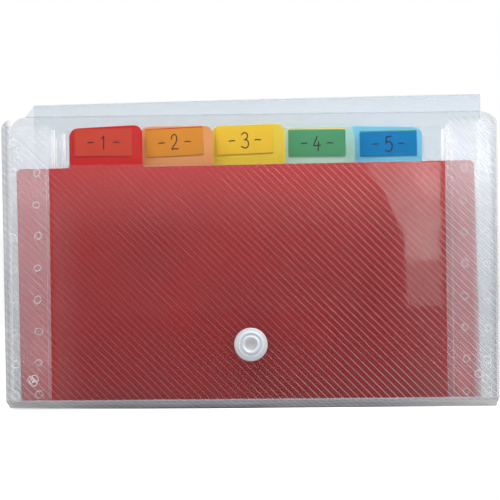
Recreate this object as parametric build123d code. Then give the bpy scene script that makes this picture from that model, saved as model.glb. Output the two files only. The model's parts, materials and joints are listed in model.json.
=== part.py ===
from build123d import *
import math
import os

# A cheque-size accordion file that stands on its bottom panel, in millimetres.
# The front looks along -Y, the pockets open upwards along +Z, and the origin is on the ground
# under the middle of the file. The front, the bottom, the back, the spine and the flap are
# creased out of one cover sheet. A crease is a round bead on one panel, and the other panel
# ends just short of it, so that it can swing round the bead.

# cover
body_width = 250.0
cover_sheet = 0.8
crease_gap = 0.3
cut_overrun = 2.0

# front panel
front_height = 143.0
front_crease_rise = 5.0
ear_width = 24.2
notch_depth = 23.6
ear_corner = 5.5
notch_corner = 5.0

# bottom panel
slope_run = 6.0
bottom_end_taper = 1.2

# back panel
back_height = 149.6
back_corner = 8.0

# flap
flap_width = 234.0
flap_corner = 20.0
flap_past_stud = 13.0
spine_lift_deg = 12.5

# pockets and dividers
pocket_pitch = 5.5
divider_colours = ["red", "orange", "yellow", "green", "blue"]
divider_sheet = 0.4
divider_inset = 8.3
divider_foot = 6.2
divider_top = 123.6
divider_corner = 2.5

# index tabs
tab_width = 36.5
tab_left_inset = 9.1
tab_right_inset = 12.8
tab_height = 19.4
tab_corner = 4.5
tab_root = 1.6
tab_slip_shares = [0.0, 0.0, 0.01, 0.0, -0.055]
tab_rise_shares = [0.08, 0.03, 0.07, 0.0, -0.01]

# label cards and their clear sleeves
label_width = 29.2
label_height = 13.8
label_card = 0.3
label_play = 0.1
label_side_play = 2.0
label_below_tab = 1.9
sleeve_film = 0.2
sleeve_rim = 1.2
sleeve_above_label = 0.5
label_seat_shares = [-0.4, -0.5, -0.9, -0.3, 0.6]

# clear sheet of the rear pocket
rear_sheet_gap = 4.5
rear_sheet_top = 142.3
rear_sheet = 0.3

# bellows
gusset_sheet = 0.3
gusset_foot = 6.0
gusset_top = 144.5
gusset_top_step = 2.0
outer_fold_inset = 1.0
inner_fold_inset = 23.5
inner_fold_step = 2.2
inner_fold_step_shares = [0.0, 1.0, 2.0, 1.0, 0.5, 0.0]
cover_flange = 8.0
outer_fold_turn = 0.2

# weld spots
weld_outer = 2.15
weld_inner = 1.3
weld_rise = 0.15
weld_pitch = 16.1
weld_first = 7.9
cover_weld_inset = 5.1
divider_weld_inset = 16.4

# press stud
snap_height = 32.5
socket_disc = 8.5
socket_disc_rise = 0.9
socket_disc_round = 0.35
socket_rim_outer = 6.6
socket_rim_inner = 5.6
socket_rim_rise = 0.6
socket_boss = 4.4
socket_boss_rise = 1.4
socket_recess = 3.5
socket_recess_depth = 1.4
rivet_cap = 5.5
rivet_cap_rise = 0.6
rivet_shank = 2.0
rivet_play = 0.1
rivet_depth = 0.5
stud_disc = 6.0
stud_disc_rise = 0.7
stud_post = 3.1
stud_post_tip = 0.5
stud_engage = 1.0
snap_gap = 0.3
stud_cap = 7.0
stud_cap_rise = 0.9
stud_cap_round = 0.6

# places that follow from the sizes above
pocket_count = len(divider_colours) + 1
depth = pocket_pitch * pocket_count
front_y = -depth / 2
back_y = depth / 2
half_width = body_width / 2
half_cover = cover_sheet / 2
front_face_y = front_y - half_cover
front_inner_y = front_y + half_cover
back_inner_y = back_y - half_cover
back_face_y = back_y + half_cover
crease_start = half_cover + crease_gap
front_top = front_crease_rise + front_height
divider_width = body_width - 2 * divider_inset
notch_width = body_width - 2 * ear_width
tab_row = notch_width - tab_left_inset - tab_right_inset - tab_width
tab_pitch = tab_row / (len(divider_colours) - 1)
outer_fold_x = half_width - outer_fold_inset
socket_rise = socket_disc_rise + socket_boss_rise
rivet_hole = rivet_shank + rivet_play
flap_stand_off = socket_rise + snap_gap + stud_disc_rise
closed_flap_y = front_face_y - flap_stand_off - half_cover
spine_length = back_y - closed_flap_y
stud_drop = back_height - snap_height
flap_length = stud_drop + flap_past_stud
spine_lift = math.radians(spine_lift_deg)
flap_y = back_y + spine_length * math.cos(spine_lift)
flap_crease_z = back_height + spine_length * math.sin(spine_lift)


def divider_y(number):
    return front_y + pocket_pitch * number


def pleat_top(pocket):
    return gusset_top - gusset_top_step * pocket


def inner_fold_x(pocket):
    return half_width - inner_fold_inset - inner_fold_step * inner_fold_step_shares[pocket]


def upright(outline, y_middle, thickness):
    """A sheet that stands across the file, from an outline drawn in X and Z."""
    plane = Plane.XZ.offset(-(y_middle + thickness / 2))
    return extrude(plane * outline, amount=thickness)


def panel(x_middle, width, z_low, z_high):
    return Pos(x_middle, (z_low + z_high) / 2) * Rectangle(width, z_high - z_low)


def corners(outline, keep):
    return [v for v in outline.vertices() if keep(v.X, v.Y)]


def turned(radius, y_low, y_high, x, z):
    """A round body whose axis runs through the sheets, along Y."""
    return Pos(x, (y_low + y_high) / 2, z) * Rot(90, 0, 0) * Cylinder(radius, y_high - y_low)


def bead(y, z, width):
    return Pos(0, y, z) * Rot(0, 90, 0) * Cylinder(half_cover, width)


def fold_strip(start, end, thickness):
    """A straight run of folded sheet, round at both ends, seen along Z."""
    dx = end[0] - start[0]
    dy = end[1] - start[1]
    middle = Pos((start[0] + end[0]) / 2, (start[1] + end[1]) / 2)
    turn = Rot(0, 0, math.degrees(math.atan2(dy, dx)))
    return middle * turn * SlotCenterToCenter(math.hypot(dx, dy), thickness)


def weld_column(inset, top, y_low, y_high):
    """Two columns of weld rings, one on each side of the file, as many as fit below a height."""
    rings = []
    rows = math.floor((top - weld_first) / weld_pitch) + 1
    for side in (-1, 1):
        for row in range(rows):
            x = side * (half_width - inset)
            z = weld_first + weld_pitch * row
            ring = turned(weld_outer, y_low, y_high, x, z)
            rings.append(ring - turned(weld_inner, y_low, y_high, x, z))
    return Compound(children=rings)


nodes = {}

# Front panel: two ears beside a wide notch, and a hole for the rivet of the press stud.
front_low = front_crease_rise + crease_start
notch_low = front_top - notch_depth
outline = panel(0, body_width, front_low, front_top)
outline -= panel(0, notch_width, notch_low, front_top + cut_overrun)
ear_tops = corners(outline, lambda x, z: z > front_top - notch_depth / 2)
outline = fillet(ear_tops, min(ear_corner, ear_width / 2 - half_cover))
notch_bottoms = corners(outline, lambda x, z: abs(z - notch_low) < half_cover)
outline = fillet(notch_bottoms, notch_corner)
hole_low = front_face_y - cut_overrun
hole_high = front_inner_y + cut_overrun
nodes["front_panel"] = upright(outline, front_y, cover_sheet)
nodes["front_panel"] -= turned(rivet_hole, hole_low, hole_high, 0, snap_height)

# Bottom panel: a sloping strip from the front crease down to a flat foot under the pockets.
crease_point = (front_y, front_crease_rise)
bend_point = (front_y + slope_run, half_cover)
foot_end = back_face_y
slope_angle = math.atan2(crease_point[1] - bend_point[1], slope_run)
miter = half_cover * math.tan(slope_angle / 2)
across_y = half_cover * math.sin(slope_angle)
across_z = half_cover * math.cos(slope_angle)
section = Polyline(
    (crease_point[0] + across_y, crease_point[1] + across_z),
    (bend_point[0] + miter, cover_sheet),
    (foot_end, cover_sheet),
    (foot_end, 0),
    (bend_point[0] - miter, 0),
    (crease_point[0] - across_y, crease_point[1] - across_z),
    close=True,
)
bottom = extrude(Plane.YZ * make_face(section), amount=half_width, both=True)
bottom += bead(front_y, front_crease_rise, body_width)
taper = Polyline(
    (-half_width + bottom_end_taper, 0),
    (half_width - bottom_end_taper, 0),
    (half_width, front_crease_rise),
    (half_width, front_crease_rise + cover_sheet),
    (-half_width, front_crease_rise + cover_sheet),
    (-half_width, front_crease_rise),
    close=True,
)
bottom &= upright(make_face(taper), 0, 2 * (depth + cut_overrun))
nodes["bottom_panel"] = bottom

# Back panel: stands on the foot, and its top narrows to the spine, with the crease bead on top.
outline = panel(0, body_width, cover_sheet, back_height)
top_corners = corners(outline, lambda x, z: z > back_height / 2)
outline = fillet(top_corners, back_corner)
back = upright(outline, back_y, cover_sheet)
nodes["back_panel"] = back + bead(back_y, back_height, flap_width)

# Flap spine: leans back from the top crease, with the flap's crease bead on its far edge.
spine_plane = Plane(
    origin=(0, back_y, back_height),
    x_dir=(1, 0, 0),
    z_dir=(0, -math.sin(spine_lift), math.cos(spine_lift)),
)
spine_run = spine_length - crease_start
spine_outline = Pos(0, crease_start + spine_run / 2) * Rectangle(flap_width, spine_run)
spine = extrude(spine_plane * spine_outline, amount=half_cover, both=True)
nodes["flap_spine"] = spine + bead(flap_y, flap_crease_z, flap_width)

# Flap panel: hangs behind the file, with a hole for the stud.
flap_low = flap_crease_z - flap_length
stud_z = flap_crease_z - stud_drop
outline = panel(0, flap_width, flap_low, flap_crease_z - crease_start)
flap_corners = corners(outline, lambda x, z: z < stud_z)
outline = fillet(flap_corners, flap_corner)
flap_front_y = flap_y - half_cover
flap_rear_y = flap_y + half_cover
hole_low = flap_front_y - cut_overrun
hole_high = flap_rear_y + cut_overrun
nodes["flap_panel"] = upright(outline, flap_y, cover_sheet)
nodes["flap_panel"] -= turned(rivet_hole, hole_low, hole_high, 0, stud_z)

# Dividers, each with a tab, a clear sleeve on the tab and a label card in the sleeve.
slot_width = label_width + 2 * label_side_play
slot_depth = label_card + 2 * label_play
sleeve_width = slot_width + 2 * sleeve_rim
for index, colour in enumerate(divider_colours):
    y = divider_y(index + 1)
    tab_top = divider_top + tab_height * (1 + tab_rise_shares[index])
    label_top = tab_top - label_below_tab
    label_low = label_top - label_height
    sleeve_low = label_low - sleeve_rim
    sleeve_top = label_top + sleeve_above_label
    tab_left = -notch_width / 2 + tab_left_inset + tab_pitch * (index + tab_slip_shares[index])
    tab_x = tab_left + tab_width / 2
    sheet = panel(0, divider_width, divider_foot, divider_top)
    shoulders = corners(sheet, lambda x, z: z > divider_top - tab_height)
    sheet = fillet(shoulders, divider_corner)
    sheet += panel(tab_x, tab_width, divider_top - tab_height, tab_top)
    tab_tops = corners(sheet, lambda x, z: abs(z - tab_top) < divider_sheet)
    sheet = fillet(tab_tops, tab_corner)
    root_reach = tab_width / 2 + divider_sheet
    beside_tab = corners(sheet, lambda x, z: abs(x - tab_x) < root_reach)
    roots = [v for v in beside_tab if abs(v.Y - divider_top) < divider_sheet]
    sheet = fillet(roots, tab_root)
    nodes[f"{colour}_divider"] = upright(sheet, y, divider_sheet)

    tab_face_y = y - divider_sheet / 2
    sleeve_face_y = tab_face_y - slot_depth - sleeve_film
    sleeve = upright(
        panel(tab_x, sleeve_width, sleeve_low, sleeve_top),
        (tab_face_y + sleeve_face_y) / 2,
        slot_depth + sleeve_film,
    )
    slot = upright(
        panel(tab_x, slot_width, label_low, sleeve_top + cut_overrun),
        tab_face_y - slot_depth / 2,
        slot_depth,
    )
    nodes[f"{colour}_sleeve"] = sleeve - slot

    label_x = tab_x + label_side_play * label_seat_shares[index]
    card = panel(label_x, label_width, label_low, label_top)
    nodes[f"{colour}_label"] = upright(card, tab_face_y - slot_depth / 2, label_card)

    leaf_face_y = tab_face_y - gusset_sheet
    weld_face_y = leaf_face_y - weld_rise
    weld_top = min(divider_top, pleat_top(index) - weld_outer)
    nodes[f"{colour}_welds"] = weld_column(divider_weld_inset, weld_top, weld_face_y, leaf_face_y)

# Clear sheet of the rear pocket, flat on the back panel between the bellows.
rear_sheet_width = 2 * (inner_fold_x(pocket_count - 1) - rear_sheet_gap)
outline = panel(0, rear_sheet_width, divider_foot, rear_sheet_top)
nodes["rear_pocket_sheet"] = upright(outline, back_inner_y - rear_sheet / 2, rear_sheet)

# Bellows: in each pocket a leaf runs from the outer fold in front to the inner fold, and
# returns flat along the sheet behind, to which it is welded.
half_gusset = gusset_sheet / 2
for pocket in range(pocket_count):
    behind_y = divider_y(pocket + 1) - divider_sheet / 2
    if pocket == pocket_count - 1:
        behind_y = back_inner_y
    leaf_y = behind_y - half_gusset
    for side, word in ((-1, "left"), (1, "right")):
        outer_x = side * outer_fold_x
        inner_fold = (side * inner_fold_x(pocket), leaf_y)
        if pocket == 0:
            start = (outer_x, front_inner_y + half_gusset)
            turn = (side * (outer_fold_x - cover_flange), front_inner_y + half_gusset)
        else:
            start = (outer_x, divider_y(pocket) + outer_fold_turn - divider_sheet / 4)
            turn = (outer_x, divider_y(pocket) + divider_sheet / 2 + outer_fold_turn)
        profile = fold_strip(start, turn, gusset_sheet)
        profile += fold_strip(turn, inner_fold, gusset_sheet)
        profile += fold_strip(inner_fold, (outer_x, leaf_y), gusset_sheet)
        pleat = extrude(Pos(0, 0, gusset_foot) * profile, amount=pleat_top(pocket) - gusset_foot)
        nodes[f"{word}_pleat_{pocket + 1}"] = pleat

# Weld spots of the cover, on the outside of the front and back panels.
front_weld_top = front_top - weld_outer
front_weld_y = front_face_y - weld_rise
nodes["front_welds"] = weld_column(cover_weld_inset, front_weld_top, front_weld_y, front_face_y)
back_weld_top = back_height - weld_outer
back_weld_y = back_face_y + weld_rise
nodes["back_welds"] = weld_column(cover_weld_inset, back_weld_top, back_face_y, back_weld_y)

# Press stud: socket and rivet on the front panel, stud and cap on the flap.
disc_y = front_face_y - socket_disc_rise
boss_y = front_face_y - socket_rise
rim_y = disc_y - socket_rim_rise
disc = turned(socket_disc, disc_y, front_face_y, 0, snap_height)
disc = fillet(disc.faces().sort_by(Axis.Y)[0].edges(), socket_disc_round)
rim = turned(socket_rim_outer, rim_y, disc_y, 0, snap_height)
rim -= turned(socket_rim_inner, rim_y, disc_y, 0, snap_height)
boss = turned(socket_boss, boss_y, disc_y, 0, snap_height)
socket = disc + rim + boss
socket -= turned(socket_recess, boss_y, boss_y + socket_recess_depth, 0, snap_height)
socket -= turned(rivet_hole, front_face_y - rivet_depth, front_face_y, 0, snap_height)
nodes["snap_socket"] = socket
rivet = turned(rivet_cap, front_inner_y, front_inner_y + rivet_cap_rise, 0, snap_height)
rivet += turned(rivet_shank, front_face_y - rivet_depth, front_inner_y, 0, snap_height)
nodes["snap_rivet"] = rivet

stud_face_y = flap_rear_y + stud_disc_rise
post_y = stud_face_y + snap_gap + stud_engage
post = turned(stud_post, stud_face_y, post_y, 0, stud_z)
post = chamfer(post.faces().sort_by(Axis.Y)[-1].edges(), stud_post_tip)
stud = turned(stud_disc, flap_rear_y, stud_face_y, 0, stud_z) + post
stud -= turned(rivet_hole, flap_rear_y, flap_rear_y + rivet_depth, 0, stud_z)
nodes["snap_stud"] = stud
cap = turned(stud_cap, flap_front_y - stud_cap_rise, flap_front_y, 0, stud_z)
cap = fillet(cap.faces().sort_by(Axis.Y)[0].edges(), stud_cap_round)
nodes["snap_cap"] = cap + turned(rivet_shank, flap_front_y, flap_rear_y + rivet_depth, 0, stud_z)

os.makedirs("parts", exist_ok=True)
for name, shape in nodes.items():
    export_step(shape, f"parts/{name}.step")
print(len(nodes), "nodes")
print("front crease at y", front_y, "z", front_crease_rise)
print("spine crease at y", back_y, "z", back_height)
print("flap crease at y", round(flap_y, 3), "z", round(flap_crease_z, 3), "spine", round(spine_length, 3))
print("closed flap at y", closed_flap_y, "stud at z", round(stud_z, 3))
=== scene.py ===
# %% Load the frame
import json
import math
import random

import bmesh
import bpy
from mathutils import Matrix, Quaternion, Vector


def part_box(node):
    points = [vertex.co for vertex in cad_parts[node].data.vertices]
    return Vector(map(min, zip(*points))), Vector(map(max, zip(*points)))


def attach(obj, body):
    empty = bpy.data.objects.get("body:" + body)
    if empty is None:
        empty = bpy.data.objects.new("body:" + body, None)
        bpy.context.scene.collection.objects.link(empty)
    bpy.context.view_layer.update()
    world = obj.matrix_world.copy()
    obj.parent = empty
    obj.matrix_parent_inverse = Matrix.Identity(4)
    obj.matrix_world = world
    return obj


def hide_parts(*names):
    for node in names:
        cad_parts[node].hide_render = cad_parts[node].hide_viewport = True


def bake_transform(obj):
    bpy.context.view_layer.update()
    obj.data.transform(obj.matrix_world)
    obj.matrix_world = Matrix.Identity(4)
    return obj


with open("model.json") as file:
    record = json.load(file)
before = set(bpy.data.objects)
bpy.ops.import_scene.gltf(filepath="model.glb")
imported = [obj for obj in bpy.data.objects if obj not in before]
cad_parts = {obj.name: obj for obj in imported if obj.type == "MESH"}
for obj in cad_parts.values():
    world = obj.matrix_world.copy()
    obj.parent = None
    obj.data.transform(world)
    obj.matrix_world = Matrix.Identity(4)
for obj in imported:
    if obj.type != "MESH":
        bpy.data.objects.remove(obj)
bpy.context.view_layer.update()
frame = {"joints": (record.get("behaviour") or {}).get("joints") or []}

MM = 0.001
hinges = {j["name"]: Vector(j["pos_m"]) for j in frame["joints"] if j["type"] == "hinge"}

# %% [markdown]
# A clear accordion file stands on its bottom fold, seen almost straight on from a long way off.
# The camera could be placed by eye, but a long lens hides its errors badly: every edge then sits a
# few pixels off. Here the place, the three turns and the focal length are written down as found by
# lining up the cover's corners, and the camera's matrix is put together from them.

# %% Camera
camera_place = Vector((122.8, -2000.0, 112.6)) * MM
camera_yaw = math.radians(3.54)
camera_pitch = math.radians(-0.93)
camera_roll = math.radians(-0.71)
picture_width = 500
focal_pixels = 3927.5
sensor_width = 36
far_limit = 50

forward = Vector((
    -math.sin(camera_yaw) * math.cos(camera_pitch),
    math.cos(camera_yaw) * math.cos(camera_pitch),
    math.sin(camera_pitch),
))
level_right = Vector((math.cos(camera_yaw), math.sin(camera_yaw), 0))
level_up = level_right.cross(forward)
right = level_right * math.cos(camera_roll) + level_up * math.sin(camera_roll)
up = level_up * math.cos(camera_roll) - level_right * math.sin(camera_roll)
turn = Matrix((right, up, -forward)).transposed().to_4x4()

camera_data = bpy.data.cameras.new("camera")
camera_data.sensor_width = sensor_width
camera_data.lens = focal_pixels / picture_width * sensor_width
camera_data.clip_end = far_limit
camera = bpy.data.objects.new("camera", camera_data)
bpy.context.scene.collection.objects.link(camera)
camera.matrix_world = Matrix.Translation(camera_place) @ turn
bpy.context.scene.camera = camera
print("lens", round(camera_data.lens, 1), "mm")

# %% [markdown]
# A finish is easier to read as a sum than as a heap of nodes. The class Wire wraps one shader socket
# and lets Python's own operators add the Math nodes, so that 1 - mask works as it reads. The class
# Finish is a material: its node method makes any node from its type, its settings and its sockets.

# %% Shader sockets as expressions
class Wire:
    """A shader socket that can stand in a sum, a difference or a product."""

    def __init__(self, finish, socket):
        self.finish = finish
        self.socket = socket

    def math(self, operation, first, second):
        return self.finish.node("ShaderNodeMath", {"operation": operation}, {0: first, 1: second})

    def __add__(self, other):
        return self.math("ADD", self, other)

    def __sub__(self, other):
        return self.math("SUBTRACT", self, other)

    def __mul__(self, other):
        return self.math("MULTIPLY", self, other)

    def __rsub__(self, other):
        return self.math("SUBTRACT", other, self)

    __radd__ = __add__
    __rmul__ = __mul__


class Finish:
    """A material whose nodes come from one method."""

    def __init__(self, name):
        self.material = bpy.data.materials.new(name)
        self.start(self.material)

    def start(self, owner):
        owner.use_nodes = True
        self.tree = owner.node_tree
        self.tree.nodes.clear()

    def node(self, kind, settings=None, sockets=None, out=0):
        made = self.tree.nodes.new(kind)
        for key, value in (settings or {}).items():
            setattr(made, key, value)
        for key, value in (sockets or {}).items():
            if isinstance(value, Wire):
                self.tree.links.new(value.socket, made.inputs[key])
            else:
                made.inputs[key].default_value = value
        return Wire(self, made.outputs[out]) if len(made.outputs) else None

    def place(self):
        return self.node("ShaderNodeTexCoord", out="Object")

    def axis(self, letter):
        return self.node("ShaderNodeSeparateXYZ", {}, {0: self.place()}, out=letter)

    def from_middle(self):
        return self.node("ShaderNodeMath", {"operation": "ABSOLUTE"}, {0: self.axis("X")})

    def noise(self, size, detail=3.0, stretch=(1, 1, 1)):
        """Cloudy values about 0.5, with patches of about the given size."""
        scaled = self.node("ShaderNodeMapping", {}, {"Vector": self.place(), "Scale": stretch})
        sockets = {"Vector": scaled, "Scale": 1 / size, "Detail": detail}
        return self.node("ShaderNodeTexNoise", {}, sockets)

    def uneven(self, patches, least):
        """A factor about 1 that follows the patches down to the given least value."""
        return least + 2 * (1 - least) * patches

    def tint(self, amount, low, high):
        """A colour between two others, each a triple or a wire."""
        pair = [c if isinstance(c, Wire) else (*c, 1) for c in (low, high)]
        sockets = {0: amount, 6: pair[0], 7: pair[1]}
        return self.node("ShaderNodeMix", {"data_type": "RGBA"}, sockets, out=2)

    def range(self, value, start, end, low, high):
        """Goes smoothly from low to high while the value goes from start to end."""
        sockets = {0: value, 1: start, 2: end, 3: low, 4: high}
        settings = {"clamp": True, "interpolation_type": "SMOOTHSTEP"}
        return self.node("ShaderNodeMapRange", settings, sockets)

    def bump(self, height, depth):
        return self.node("ShaderNodeBump", {}, {"Height": height, "Distance": depth, "Strength": 1.0})

    def surface(self, **sockets):
        named = {key.replace("_", " ").title().replace("Ior", "IOR"): v for key, v in sockets.items()}
        shader = self.node("ShaderNodeBsdfPrincipled", {}, named)
        self.node("ShaderNodeOutputMaterial", {}, {"Surface": shader})
        return self.material


print("shader helpers ready")

# %% [markdown]
# The cover is one sheet of clear polypropylene, pressed with fine slanting lines. A glass shader would
# bend and darken what is behind so many thin layers. Instead each surface lets most of a ray straight
# through by its alpha, and what it keeps is a little pale haze and a gloss. The alpha follows large
# soft patches, because handled sheet is never evenly clear.

# %% Clear finishes
sheet_cloud = 30 * MM
sheet_grain = 1.2 * MM
sheet_ripple = 0.03 * MM
grain_share = 0.02
cloud_least = 0.75


def sheet_texture(finish, cloud=sheet_cloud):
    """The large patches and the fine grain of pressed sheet, and the bump that both make."""
    patches = finish.noise(cloud)
    grain = finish.noise(sheet_grain, detail=2.0)
    return patches, grain, finish.bump(patches + grain_share * grain, sheet_ripple)


def clear_finish(name, haze, pale, deep, ior, cloud=sheet_cloud):
    """A plain clear sheet, whose haze is what one surface keeps of the light."""
    finish = Finish(name)
    patches, grain, ripple = sheet_texture(finish, cloud)
    return finish.surface(
        base_color=finish.tint(patches, deep, pale),
        roughness=0.1 + 0.12 * grain,
        ior=ior,
        alpha=haze * finish.uneven(patches, cloud_least),
        normal=ripple,
    )


cool_white = (0.475, 0.55, 0.605)
cool_grey = (0.40, 0.475, 0.53)
back_clear = clear_finish("back_clear", 0.26, cool_white, cool_grey, 1.45)
back_line = clear_finish("back_line", 0.25, (0.58, 0.66, 0.72), cool_white, 1.45)
rear_clear = clear_finish("rear_clear", 0.06, cool_white, cool_grey, 1.45)
spine_clear = clear_finish("spine_clear", 0.35, (0.46, 0.53, 0.60), (0.40, 0.47, 0.54), 1.4)
spine_line = clear_finish("spine_line", 0.45, (0.54, 0.61, 0.68), (0.47, 0.54, 0.61), 1.4)
film_clear = clear_finish("film_clear", 0.006, (0.9, 0.9, 0.92), (0.7, 0.72, 0.75), 1.6)
film_edge = clear_finish("film_edge", 0.015, (0.95, 0.93, 0.9), (0.8, 0.78, 0.76), 1.6)
weld_clear = clear_finish("weld_clear", 0.27, (1.0, 0.98, 0.98), (0.93, 0.9, 0.9), 1.8, cloud=2 * MM)
print("plain clear finishes ready")

# %% [markdown]
# The front sheet hangs free before the first pocket and is pressed against the bellows at its sides.
# Before the pocket the haze is a painted shade: its colour darkens and it grows denser downwards.
# Near a fold it pales into a painted highlight. The cut side edges gather the haze into a blue-grey
# band; that band and the haze on the lower flanges are a painted shade, darker towards the bottom.
# One flat haze can't do all this, so the haze and its colour follow the place on the sheet: the
# distance from the middle, the side and the height.

# %% Front finishes
edge_from, edge_to = 120.5 * MM, 124.5 * MM
left_edge_haze, right_edge_haze = 0.34, 0.1
pocket_from, pocket_to = 97 * MM, 104 * MM
flange_from, flange_to = 108 * MM, 115 * MM
flange_haze = 0.06
haze_from, haze_to = 122 * MM, 88 * MM
foot_from, foot_to = 75 * MM, 15 * MM
foot_haze = 0.025
lower_from, lower_to = 110 * MM, 5 * MM
left_fold_from, left_fold_to = -82 * MM, -101 * MM
right_fold_from, right_fold_to = 60 * MM, 98 * MM
# The next two colours are the pocket's haze at the top and its painted shade lower down.
top_haze = (0.24, 0.24, 0.25)
pocket_painted_shade = (0.075, 0.07, 0.078)
# A painted highlight: the paler haze near the folds.
fold_painted_highlight = (0.30, 0.30, 0.32)
# The side band's colour at the top, then its painted shade at the bottom.
edge_high = (0.25, 0.29, 0.35)
edge_painted_shade = (0.10, 0.11, 0.135)


def front_finish(name):
    """The front sheet: a painted shade darker down the open pocket, a painted highlight by its folds, and
    dense sides.
    """
    finish = Finish(name)
    along, side, height = finish.axis("X"), finish.from_middle(), finish.axis("Z")
    patches, grain, ripple = sheet_texture(finish)
    left_edge = finish.range(along, -edge_from, -edge_to, 0, left_edge_haze)
    right_edge = finish.range(along, edge_from, edge_to, 0, right_edge_haze)
    edges = left_edge + right_edge
    pocket = finish.range(side, pocket_from, pocket_to, 1, 0)
    # Painted shade: the pocket's haze grows darker and denser downwards.
    down = finish.range(height, haze_from, haze_to, 0, 1)
    low = finish.range(height, foot_from, foot_to, 0, foot_haze)
    # Painted shade: the side band and the lower flanges turn darker towards the bottom.
    lower = finish.range(height, lower_from, lower_to, 0, 1)
    low_flange = finish.range(side, flange_from, flange_to, 0, flange_haze) * lower
    # Painted highlight: the haze pales towards the folds inside the pocket.
    left_fold = finish.range(along, left_fold_from, left_fold_to, 0, 0.5)
    right_fold = finish.range(along, right_fold_from, right_fold_to, 0, 0.4)
    painted_shade_haze = finish.tint(down, top_haze, pocket_painted_shade)
    haze_and_highlight = finish.tint((left_fold + right_fold) * pocket, painted_shade_haze, fold_painted_highlight)
    haze = 0.03 + pocket * (0.05 + 0.065 * down + low) + low_flange + edges
    return finish.surface(
        base_color=finish.tint(3 * edges + 10 * low_flange, haze_and_highlight, finish.tint(lower, edge_high, edge_painted_shade)),
        roughness=0.02 + 0.02 * grain,
        ior=1.5,
        alpha=haze * finish.uneven(patches, cloud_least),
        normal=ripple,
    )


line_cloud = 25 * MM
line_grain_depth = 0.002 * MM
line_right_from, line_right_to = -40 * MM, 90 * MM
line_foot_from, line_foot_to = 45 * MM, 6 * MM


def front_line_finish(name):
    """The front's pressed lines, whiter over the bellows, and whiter towards the right and the bottom by a
    painted highlight.
    """
    finish = Finish(name)
    patches = finish.noise(line_cloud)
    grain = finish.noise(sheet_grain, detail=2.0)
    # Painted highlight: the lines grow whiter towards the right and towards the bottom.
    right_painted_highlight = finish.range(finish.axis("X"), line_right_from, line_right_to, 0, 0.15)
    low_painted_highlight = finish.range(finish.axis("Z"), line_foot_from, line_foot_to, 0, 0.06)
    on_flange = finish.range(finish.from_middle(), pocket_from, pocket_to, 0, 0.07)
    return finish.surface(
        base_color=finish.tint(patches, (0.95, 0.9, 0.9), (1.0, 0.97, 0.97)),
        roughness=0.14 + 0.06 * grain,
        ior=1.6,
        alpha=(0.11 + right_painted_highlight + low_painted_highlight + on_flange) * finish.uneven(patches, 0.6),
        normal=finish.bump(grain, line_grain_depth),
    )


shade_from, shade_to = 0.8 * MM, 4.6 * MM
crease_from, crease_to = 4.1 * MM, 4.8 * MM
foot_shadow_from, foot_shadow_to = 0.9 * MM, 0.3 * MM
right_end_from, right_end_to = 48 * MM, 118 * MM
left_end_from, left_end_to = -65 * MM, -115 * MM
# A painted highlight along the front crease.
crease_painted_highlight = (0.85, 0.78, 0.8)
# A painted shadow: the dark line along the strip's foot.
foot_painted_shadow = (0.12, 0.115, 0.12)
# Painted light at the strip's two ends.
ends_painted_light = (1.0, 1.0, 1.0)


def foot_finish(name, haze, deep, shaded):
    """The strip under the front crease, with painted light: a highlight along the crease and at its ends,
    a shade darker upwards and a dark foot line of painted shadow.
    """
    finish = Finish(name)
    along, height = finish.axis("X"), finish.axis("Z")
    patches, grain, ripple = sheet_texture(finish)
    # Painted shade: the strip's colour darkens from its lower colour to its shaded colour upwards.
    up = finish.range(height, shade_from, shade_to, 0, 1)
    # Painted highlight: the strip pales, and thins, along the crease.
    crease_highlight_mask = finish.range(height, crease_from, crease_to, 0, 0.25)
    # Painted light: the ends of the strip are paler, the right one most.
    right_end_light = finish.range(along, right_end_from, right_end_to, 0, 1)
    left_end_light = finish.range(along, left_end_from, left_end_to, 0, 0.6)
    ends = right_end_light + left_end_light
    # Painted shadow: a dark line along the foot, except at the lit ends.
    foot_shadow_mask = finish.range(height, foot_shadow_from, foot_shadow_to, 0, 1) * (1 - ends)
    crease_highlighted = finish.tint(2.5 * crease_highlight_mask, finish.tint(up, deep, shaded), crease_painted_highlight)
    lit = finish.tint(ends * (1 - 0.75 * up), crease_highlighted, ends_painted_light)
    return finish.surface(
        base_color=finish.tint(foot_shadow_mask, lit, foot_painted_shadow),
        roughness=0.16 + 0.12 * grain,
        ior=1.45,
        alpha=haze + 0.2 * foot_shadow_mask - crease_highlight_mask,
        normal=ripple,
    )


front_clear = front_finish("front_clear")
front_line = front_line_finish("front_line")
# The last two colours are the strip's lower colour and its painted shade higher up.
foot_clear = foot_finish("foot_clear", 0.6, (0.57, 0.57, 0.63), (0.31, 0.31, 0.35))
foot_line = foot_finish("foot_line", 0.66, (0.70, 0.70, 0.74), (0.42, 0.42, 0.46))
print("front finishes ready")

# %% [markdown]
# The bellows are thin film. Polypropylene turns white where it is bent sharply, and that is what shows
# a fold in clear film; the white on the folds is partly that and partly a painted highlight. The white
# is a number on each point of the mesh, written when the pleat is folded further below, and the finish
# only reads it: a fold then keeps its white edge at any place. On the first pleat the same number also
# carries painted light: whiter higher up and on the right side, with a bright band on the right flange.

# %% Bellows finish
film_colours = ((0.80, 0.86, 0.94), (0.90, 0.95, 1.0))
# The white that both the folds' stress whitening and the painted light go to.
white_and_painted_light = (0.98, 0.98, 1.0)
film_cloud = 14 * MM
film_ripple = 0.015 * MM
tall_stretch = (1, 1, 0.25)


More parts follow.
